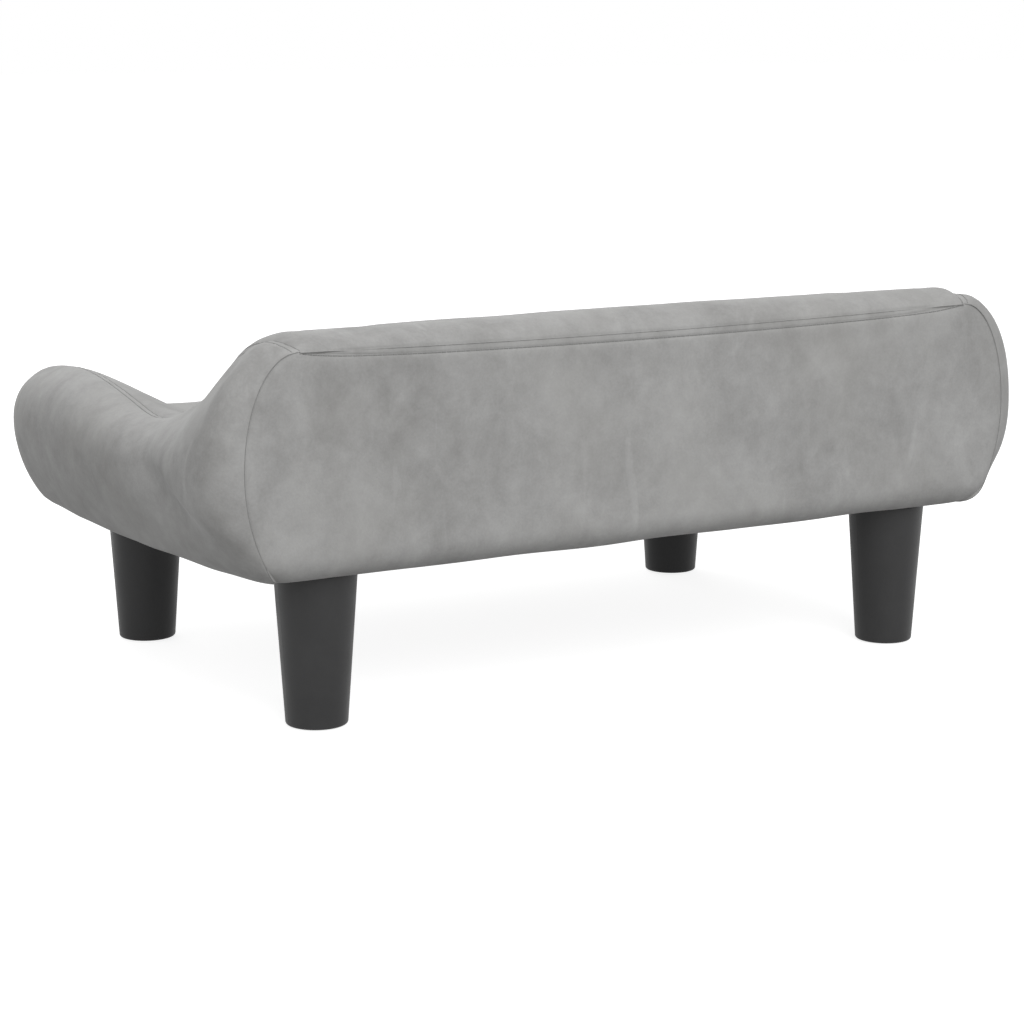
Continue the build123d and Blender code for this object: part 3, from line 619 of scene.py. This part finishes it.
def wing_strip():
    """Strip over the wing's top and down its nose, and the face that lies on the core."""
    rim = row_section(WING_ROWS[-1])
    nose = [[np.interp(-z, -rim[:, 2], rim[:, k]) for k in range(3)] for z in NOSE_HEIGHTS]
    outer = np.concatenate([[row[0] for row in WING_ROWS], nose])
    rows = np.concatenate([outer, STRIP_EDGE, STRIP_CROWN[:, None]], axis=1)
    guide, stops = even_rows(along((outer + STRIP_EDGE) / 2), rows,
                             lambda guide: (guide[:, 0:3] + guide[:, 3:6]) / 2, step=4.2, last=False)
    across = np.linalg.norm(outer - STRIP_EDGE, axis=1).mean()
    share = spaced(across, step=3.4) / across
    edge_a, edge_b, lift = guide[:, 0:3], guide[:, 3:6], guide[:, 6]
    grid = edge_a[:, None] * (1 - share[None, :, None]) + edge_b[:, None] * share[None, :, None]
    out = normals(grid, Z)
    bulge = (np.sin(math.pi * share) * (1 + 0.55 * np.cos(math.pi * share)))[None, :] * lift[:, None]
    from_seam = share[None, :] * across * np.ones((len(stops), 1))
    from_lining = (1 - share[None, :]) * across * np.ones((len(stops), 1))
    from_rear = np.repeat(stops[:, None], len(share), axis=1)
    y = grid[..., 1]
    move = bulge + swell(grid, scale=45.0, depth=0.9, seed=2) * fade(from_seam, over=12)
    move += 0.12 * ripple(grid, from_rear, pitch=12.0, seed=6) * hump(from_seam, width=8.0)
    sewn_in = fade(172.0 - y, over=14.0)
    move -= np.maximum(np.maximum(seam_dip(from_seam, 0.6) * taut(y), seam_dip(from_rear, 0.6)),
                       seam_dip(from_lining, 0.5) * sewn_in)
    grid = grid + out * move[..., None]
    grid[:, -1, 0] = INNER_EDGE
    inner_face = grid - out * 10.0
    inner_face[..., 0] = np.clip(inner_face[..., 0], INNER_EDGE, None)
    inner_face[..., 1] = np.clip(inner_face[..., 1], CORE_NOSE, 214.0)
    return grid, inner_face


panel_skin, panel_back, wing_sewn = wing_panel()
strip_skin, strip_back = wing_strip()
wing_edge = strip_skin[:, -1]
right_side = closed_pad("right_side_panel", panel_skin, panel_back)
left_side = mirrored(right_side, "left_side_panel")
right_strip = closed_pad("right_wing_top", strip_skin, strip_back)
left_strip = mirrored(right_strip, "left_wing_top")


# Rear panel.

# How far to either side the second stitched line runs.
STITCH_END = 276


def rear_side_curve():
    """Half outline of the rear panel as (x, z), from the hem up: the wing's own rear edge."""
    curve = row_section(WING_ROWS[0])[::-1][:, [0, 2]]
    rising = np.concatenate([[True], np.diff(np.maximum.accumulate(curve[:, 1])) > 0.01])
    return curve[rising]


def stitch_height(x):
    """Height of the second stitched line on the rear panel, by x."""
    share = np.clip(np.abs(x) / 274.0, 0, 1)
    return 261.2 + 4.2 * share ** 2 + 3.6 * share ** 10


def rear_grid(side, across):
    """Points of the rear panel. side has half width and height of each row, across runs from -1 to 1."""
    grid = np.zeros((len(side), len(across), 3))
    for row, (x, z) in zip(grid, side):
        level = z - SEAM_SAG * ((z - HEM) / SAG_RISE) ** 2 * (1 - across ** 2)
        drop = np.clip(HEM + HEM_ROUND - level, 0, HEM_ROUND)
        row[:, 0] = across * x
        row[:, 1] = REAR - HEM_ROUND + np.sqrt(HEM_ROUND ** 2 - drop ** 2)
        row[:, 2] = level
    return grid


def rear_panel():
    """Outer skin of the rear panel, the face behind it and its second stitched line."""
    curve = rear_side_curve()
    run = along(curve)[-1]
    stops = np.unique(np.concatenate([spaced(run, step=4.0), np.linspace(run - 46, run - 4, 30)]))
    stops = stops[np.concatenate([[True], np.diff(stops) > 0.35])]
    stops[-1] = run
    side = resample(curve, stops)
    width = 2 * SEAM_END
    across = (spaced(width, step=4.5) / width) * 2 - 1
    grid = rear_grid(side, across)
    x, z = grid[..., 0], grid[..., 2]
    drop = np.clip(HEM + HEM_ROUND - z, 0, HEM_ROUND) / HEM_ROUND
    out = np.stack([np.zeros_like(drop), np.sqrt(1 - drop ** 2), -drop], axis=2)
    to_seam = (SEAM_HEIGHT - SEAM_SAG * (1 - across ** 2))[None, :] - z
    from_seam = np.where(np.abs(x) < SEAM_END, np.clip(to_seam, 0, 60), 60)
    from_side = (1 - np.abs(across))[None, :] * side[:, 0][:, None]
    seam = np.minimum(from_seam, from_side)
    to_stitch = np.where(np.abs(x) < STITCH_END, np.abs(z - stitch_height(x)), 50)
    move = -seam_dip(seam, 1.0) * np.where(from_side < from_seam, 0.45, 1.0)
    move -= 0.6 * hump(to_stitch, width=0.9) + 0.4 * hump(to_stitch, width=3.0)
    move += swell(grid, scale=75.0, depth=1.5, seed=3) * fade(seam, over=25)
    move += 0.12 * ripple(grid, x, pitch=12.5, seed=8) * hump(from_seam, width=9.0) * fade(from_side, over=15)
    move -= 0.9 * (1 - fade(seam, over=14)) ** 2
    skin = grid + out * move[..., None]
    sewn = []
    for column in skin.transpose(1, 0, 2):
        if abs(column[-1, 0]) < STITCH_END:
            height = stitch_height(column[-1, 0])
            sewn.append([np.interp(height, column[:, 2], column[:, k]) for k in range(3)])
    sewn = np.array(sewn) + np.array([0.0, 0.15, 0.0])
    inner = skin.copy()
    inner[..., 1] = CORE_REAR
    inner[..., 0] = skin[..., 0] * 0.94
    inner[..., 2] = np.clip(190 + (skin[..., 2] - 190) * 0.78, 112.0, 252.0)
    return skin, inner, sewn


rear_skin, rear_back, rear_sewn = rear_panel()
rear_cover = closed_pad("rear_panel", rear_skin, rear_back)


# Strip over the back.

# Height of the strip's crest, and of the lip where it comes down on the inner pad.
BACK_CREST = 281.3
LIP = 258.0


def back_section(share):
    """Section of the back's strip from the rear seam over the top to the lip, as y and z."""
    seam = np.array([REAR, SEAM_HEIGHT - SEAM_SAG * (1 - (share * INNER_EDGE / SEAM_END) ** 2)])
    crest = BACK_CREST - 1.0 * share ** 2
    rows = np.array([seam, (REAR - 8.5, seam[1] + (crest - seam[1]) * 0.62), (REAR - 28.0, crest),
                     (REAR - 49.0, crest - 2.6), (REAR - 59.4, crest - 9.5), (REAR - 61.4, LIP)])
    return spline(np.array([0.0, 0.16, 0.42, 0.72, 0.92, 1.0]), rows, np.linspace(0, 1, 90))


def back_top(edge):
    """Strip over the back's top edge. It runs into the wings' strips along the line edge."""
    x = np.linspace(-INNER_EDGE, INNER_EDGE, 132)
    edge = edge[(edge[:, 1] > 159.5) & (np.arange(len(edge)) < len(edge) // 2)][:, 1:]
    edge = np.concatenate([edge, [(edge[-1, 0] - 0.6, LIP - 0.4)]])
    arcs = [back_section(place / INNER_EDGE) for place in x]
    lengths = np.array([along(arc)[-1] for arc in arcs])
    stops = spaced(lengths.mean(), step=3.6, last=False) / lengths.mean()
    end = resample(edge, stops * along(edge)[-1])
    grid = np.zeros((len(x), len(stops), 3))
    from_seam = lengths[:, None] * stops[None, :]
    for k, arc in enumerate(arcs):
        section = resample(arc, from_seam[k])
        blend = fade(abs(x[k]) - 190.0, over=72.0)
        blend = blend * blend * (3 - 2 * blend)
        grid[k, :, 0] = x[k]
        grid[k, :, 1:] = section + (end - section) * blend
    out = normals(grid, Z)
    move = swell(grid, scale=60.0, depth=1.1, seed=4) * fade(from_seam, over=14)
    move += 0.12 * ripple(grid, grid[..., 0], pitch=12.0, seed=9) * hump(from_seam, width=8.0)
    move -= seam_dip(from_seam, 0.7)
    move *= fade(INNER_EDGE - np.abs(grid[..., 0]), over=18.0)
    grid = grid + out * move[..., None]
    inner = grid.copy()
    inner[..., 1] = np.clip(grid[..., 1], 168.0, 214.0)
    inner[..., 2] = np.clip(grid[..., 2] - 8.0, LIP - 1.4, LIP + 4.0)
    return grid, inner


back_cover = closed_pad("back_top", *back_top(wing_edge))


# Cushions by cloth simulation.

def soft_block(name, half, y, z, round_by):
    """Rounded closed block, as wide as half to either side, between the two places of y and of z."""
    lows = (-half, y[0], z[0])
    highs = (half, y[1], z[1])
    bm = bmesh.new()
    bmesh.ops.create_cube(bm, size=1.0)
    size = Vector([h - l for l, h in zip(lows, highs)])
    middle = Vector([(h + l) / 2 for l, h in zip(lows, highs)])
    for v in bm.verts:
        v.co = Vector([v.co[k] * size[k] + middle[k] for k in range(3)]) * MM
    bmesh.ops.bevel(bm, geom=bm.edges[:], offset=round_by * MM, segments=4, profile=0.5,
                    affect="EDGES")
    mesh = bpy.data.meshes.new(name)
    bm.to_mesh(mesh)
    bm.free()
    obj = bpy.data.objects.new(name, mesh)
    bpy.context.collection.objects.link(obj)
    return obj


def add_cloth(obj, pressure):
    cloth = obj.modifiers.new("cloth", "CLOTH")
    cloth.settings.use_pressure = True
    cloth.settings.uniform_pressure_force = pressure
    cloth.settings.vertex_group_mass = "held"
    cloth.settings.effector_weights.gravity = 0
    cloth.settings.quality = 6
    cloth.settings.tension_stiffness = 12
    cloth.settings.compression_stiffness = 12
    cloth.settings.bending_stiffness = 2.0


def blow_up(obj, voxel, pressure, cap, held):
    """Cloth under pressure with gravity off, fixed where held(point) is true. Lengths in mm.

    No point moves further than cap, and less towards the ends, where a cushion would grow ears."""
    modifier = obj.modifiers.new("even", "REMESH")
    modifier.mode = "VOXEL"
    modifier.voxel_size = voxel * MM
    apply_modifiers(obj)
    mesh = obj.data
    start = points_of(mesh)
    group = obj.vertex_groups.new(name="held")
    group.add([i for i, point in enumerate(start) if held(point / MM)], 1.0, "REPLACE")
    add_cloth(obj, pressure)
    scene = bpy.context.scene
    for step in range(1, 21):
        scene.frame_set(step)
    end = points_of(obj.evaluated_get(bpy.context.evaluated_depsgraph_get()).data)
    move = end - start
    length = np.linalg.norm(move, axis=1, keepdims=True)
    from_end = (np.abs(start[:, :1]).max() - np.abs(start[:, :1])) / MM
    limit = cap * MM * (0.3 + 0.7 * fade(from_end, over=70.0) ** 0.7)
    move *= np.minimum(1, limit / np.maximum(length, 1e-9))
    obj.modifiers.clear()
    mesh.vertices.foreach_set("co", (start + move).ravel())
    mesh.update()
    scene.frame_set(1)
    subdivide(obj)
    smooth(obj)


seat = soft_block("seat_cushion", half=261.2, y=(-210.5, 164.0), z=(DECK, 173.0), round_by=6.0)
blow_up(seat, voxel=6, pressure=4.0, cap=8.0, held=lambda point: point[2] < DECK + 3.6)
back_rest = soft_block("back_rest", half=263.0, y=(165.5, 191.8), z=(150.0, 260.0), round_by=5.0)
blow_up(back_rest, voxel=6, pressure=2.0, cap=3.5, held=lambda point: point[1] > 187)
border = soft_block("front_border", half=269.0, y=(-210.5, -197.0), z=(110.9, 151.5), round_by=4.0)
blow_up(border, voxel=4, pressure=2.0, cap=2.4, held=lambda point: point[1] > -200)


# Inner pads of the wings.

def wing_lining(edge):
    """Inner pad of a wing, from the seat deck up to the seam with the strip."""
    rear, nose, low = 191.5, -213.0, 150.0
    y = np.linspace(rear, nose, 110)
    line = edge[:np.argmax(edge[:, 1] < -214.0)]
    top = np.minimum(np.interp(y, line[::-1, 1], line[::-1, 2]) - 3.4, 258.8)
    share = spaced(100.0, step=5.0, first=False) / 100.0
    grid = np.zeros((len(y), len(share), 3))
    grid[..., 1] = y[:, None]
    grid[..., 2] = low + (top[:, None] - low) * share[None, :]
    from_edge = np.minimum(grid[..., 2] - low, top[:, None] - grid[..., 2])
    from_end = np.minimum(rear - grid[..., 1], grid[..., 1] - nose)
    puff = 2.2 * fade(from_edge, over=24) ** 0.6 * fade(from_end, over=20) ** 0.5
    puff += swell(grid, scale=45.0, depth=0.8, seed=12) * fade(from_edge, over=14)
    grid[..., 0] = INNER_EDGE + 1.2 - puff
    inner = grid.copy()
    inner[..., 0] = 269.4
    return grid, inner


right_lining = closed_pad("right_wing_inside", *wing_lining(wing_edge))
left_lining = mirrored(right_lining, "left_wing_inside")


# Sewing.

def both_sides(paths):
    """The paths of one wing and the same ones on the other."""
    return paths + [mirror_path(path) for path in paths]


def seam_lines():
    """Thread that shows in the seams, and the stitches of the sewn lines beside them."""
    rear_seam = rear_skin[-1] + np.array([0.0, 0.1, 0.2])
    top_seam = panel_skin[:, 0]
    nose_seam = panel_skin[-1, :-6] + (-0.2, -0.1, 0.0)
    paths = []
    for path in [rear_seam] + both_sides([top_seam]) + both_sides([nose_seam]):
        length = along(path)[-1]
        paths.append(resample(path, np.linspace(1.0, length - 1.0, int(length / 3.5))))
    lining_seam = wing_edge[(wing_edge[:, 1] < 158) & (wing_edge[:, 2] > 120)] + np.array([-0.1, 0.0, -0.6])
    seams = rods("seam_threads", paths + both_sides([lining_seam]), radius=0.4)
    side_seam = resample(panel_skin[0], np.linspace(2.0, along(panel_skin[0])[-1] - 2.0, 60))
    side_seams = rods("side_seam_threads", both_sides([side_seam]), radius=0.26)
    sewn = stitches(rear_sewn) + stitches(wing_sewn) + stitches(mirror_path(wing_sewn))
    return seams, side_seams, rods("stitches", sewn, radius=0.33, sides=5)


# Dust cover.

# Half width, front and rear edge of the cloth, pitch of its staples, and the legs that it goes round.
DUST_HALF = 289.0
DUST_FRONT = -197.5
DUST_REAR = 201.5
STAPLE_PITCH = 45.0
LEG_PLACES = [(x, y) for x in (-250.0, 250.0) for y in (-125.5, 177.0)]


def dust_sheet():
    """Thin cloth stapled flat under the frame, a little slack between its staples."""
    x = np.linspace(-DUST_HALF, DUST_HALF, 118)
    y = np.linspace(DUST_FRONT, DUST_REAR, 82)
    grid = np.zeros((len(x), len(y), 3))
    grid[..., 0] = x[:, None]
    grid[..., 1] = y[None, :]
    from_front = grid[..., 1] - DUST_FRONT
    from_rear = DUST_REAR - grid[..., 1]
    inside = np.minimum(DUST_HALF - np.abs(grid[..., 0]), np.minimum(from_front, from_rear))
    slack = fade(inside - 8, over=60.0)
    wave = np.sin(grid[..., 0] / STAPLE_PITCH * 2 * math.pi)
    pucker = wave * hump(from_front, width=22.0) + wave * hump(from_rear, width=22.0)
    for leg_x, leg_y in LEG_PLACES:
        from_leg = np.hypot(grid[..., 0] - leg_x, grid[..., 1] - leg_y) - 32
        slack = np.minimum(slack, fade(from_leg, over=40))
        pucker = pucker * fade(from_leg, over=15)
    loose = swell(grid, scale=60.0, depth=0.5, seed=14)
    grid[..., 2] = 110.15 - 1.6 * slack - 0.25 * pucker - loose * slack
    top = grid.copy()
    top[..., 2] = np.minimum(grid[..., 2] + 0.6, 110.9)
    return grid, top


def staple_paths():
    """Flat crowned staples along the edge of the dust cover."""
    crown, foot, half = 109.95, 111.5, 5
    ends = [((x - half, y), (x + half, y)) for x in np.arange(-270.0, 271.0, STAPLE_PITCH)
            for y in (-191.0, 195.0)]
    ends += [((x, y - half), (x, y + half)) for y in np.arange(-160.0, 161.0, 40.0)
             for x in (-282.5, 282.5)]
    return [[(*a, foot), (*a, crown), (*b, crown), (*b, foot)] for a, b in ends]


seam_thread, side_thread, stitch_thread = seam_lines()
dust = closed_pad("dust_sheet", *dust_sheet())
staples = rods("staples", staple_paths(), radius=0.4)
for sewing in (seam_thread, side_thread, stitch_thread):
    dress(sewing, thread, "velvet")
dress(dust, underlining, "underlining", "dust_cover")
dress(staples, zinc_steel, "zinc_steel")
dress(right_side, velvet, "velvet", "right_side_pad", fill=0.85)
dress(left_side, velvet, "velvet", "left_side_pad", fill=0.85)
dress(right_strip, velvet, "velvet", "right_wing_strip", fill=0.8)
dress(left_strip, velvet, "velvet", "left_wing_strip", fill=0.8)
dress(rear_cover, velvet, "velvet", "rear_pad", fill=0.8)
dress(back_cover, velvet, "velvet", "back_strip", fill=0.8)
dress(seat, velvet, "velvet", "seat_cover", "seat_foam", fill=0.8)
dress(back_rest, velvet, "velvet", "back_pad", fill=0.8)
dress(border, velvet, "velvet", "front_pad", fill=0.8)
dress(right_lining, velvet, "velvet", "right_wing_lining", fill=0.8)
dress(left_lining, velvet, "velvet", "left_wing_lining", fill=0.8)


# Camera, floor and light. Lengths in m from here on, powers in W.

IMAGE_PIXELS = 1024.0
FOCAL_PIXELS = 2685.7
CAMERA_PLACE = (1.0596, 1.8203, 0.5033)
YAW, PITCH, ROLL = 0.5323, 0.1448, 0.0006
SHIFT_UP = -0.12
AIM = Vector((0, 0, 0.15))

# Each lamp: name, place, side of its square face, power.
LAMPS = [("key", (0.5, 3.0, 2.3), 2.2, 84.0),
         ("top", (0.0, 0.2, 3.4), 3.0, 13.0),
         ("fill", (2.8, 0.4, 1.7), 2.4, 11.0),
         ("front", (-0.6, -3.0, 2.2), 2.6, 46.0)]


def set_camera():
    data = bpy.data.cameras.new("camera")
    data.sensor_fit = "HORIZONTAL"
    data.sensor_width = 36.0
    data.lens = data.sensor_width * FOCAL_PIXELS / IMAGE_PIXELS
    data.shift_y = SHIFT_UP
    camera = bpy.data.objects.new("camera", data)
    bpy.context.collection.objects.link(camera)
    level = math.cos(PITCH)
    forward = Vector((-math.sin(YAW) * level, -math.cos(YAW) * level, -math.sin(PITCH)))
    turn = Matrix.Rotation(ROLL, 3, "Z").to_quaternion()
    camera.location = CAMERA_PLACE
    camera.rotation_mode = "QUATERNION"
    camera.rotation_quaternion = forward.to_track_quat("-Z", "Y") @ turn
    data.clip_start = 0.05
    data.clip_end = 60.0
    bpy.context.scene.camera = camera


def white_where_seen(m, strength):
    """Adds plain white light of the surface's own, only for the camera and for reflections."""
    path = m.add("ShaderNodeLightPath").outputs
    seen = m.maths("MAXIMUM", path["Is Glossy Ray"], path["Is Transmission Ray"])
    seen = m.maths("MAXIMUM", path["Is Camera Ray"], seen)
    light = m.maths("MULTIPLY", seen, strength)
    glow = m.add("ShaderNodeEmission", {"Color": (1, 1, 1, 1), "Strength": light})
    both = m.add("ShaderNodeAddShader")
    m.tree.links.new(m.shader.outputs[0], both.inputs[0])
    m.tree.links.new(glow.outputs[0], both.inputs[1])
    output = m.tree.nodes["Material Output"]
    m.tree.links.new(both.outputs[0], output.inputs["Surface"])


def lay_floor(half=15):
    m = Nodes("floor")
    m.set(Roughness=0.9, Specular_IOR_Level=0.0)
    m.shader.inputs["Base Color"].default_value = (0.40, 0.40, 0.40, 1)
    white_where_seen(m, 0.86)
    corners = [(-half, -half, 0), (half, -half, 0), (half, half, 0), (-half, half, 0)]
    floor = new_object("floor", corners, [(0, 1, 2, 3)])
    floor.data.materials.append(m.material)


def light_world():
    """White for the camera and through glass, and a plain grey level of light for the rest."""
    world = bpy.data.worlds.new("world")
    bpy.context.scene.world = world
    world.use_nodes = True
    tree = world.node_tree
    background = tree.nodes["Background"]
    path = tree.nodes.new("ShaderNodeLightPath")
    top = tree.nodes.new("ShaderNodeMath")
    top.operation = "MAXIMUM"
    tree.links.new(path.outputs["Is Camera Ray"], top.inputs[0])
    tree.links.new(path.outputs["Is Transmission Ray"], top.inputs[1])
    level = tree.nodes.new("ShaderNodeMapRange")
    level.inputs["To Min"].default_value = 0.60
    level.inputs["To Max"].default_value = 1.0
    tree.links.new(top.outputs[0], level.inputs["Value"])
    tree.links.new(level.outputs[0], background.inputs["Strength"])
    background.inputs["Color"].default_value = (1, 1, 1, 1)


def hang_lamps():
    for name, place, size, power in LAMPS:
        data = bpy.data.lights.new(name, "AREA")
        data.size = size
        data.energy = power
        lamp = bpy.data.objects.new(name, data)
        lamp.location = place
        lamp.rotation_mode = "QUATERNION"
        lamp.rotation_quaternion = (AIM - Vector(place)).to_track_quat("-Z", "Y")
        bpy.context.collection.objects.link(lamp)


set_camera()
lay_floor()
light_world()
hang_lamps()
bpy.context.scene.view_settings.view_transform = "Standard"
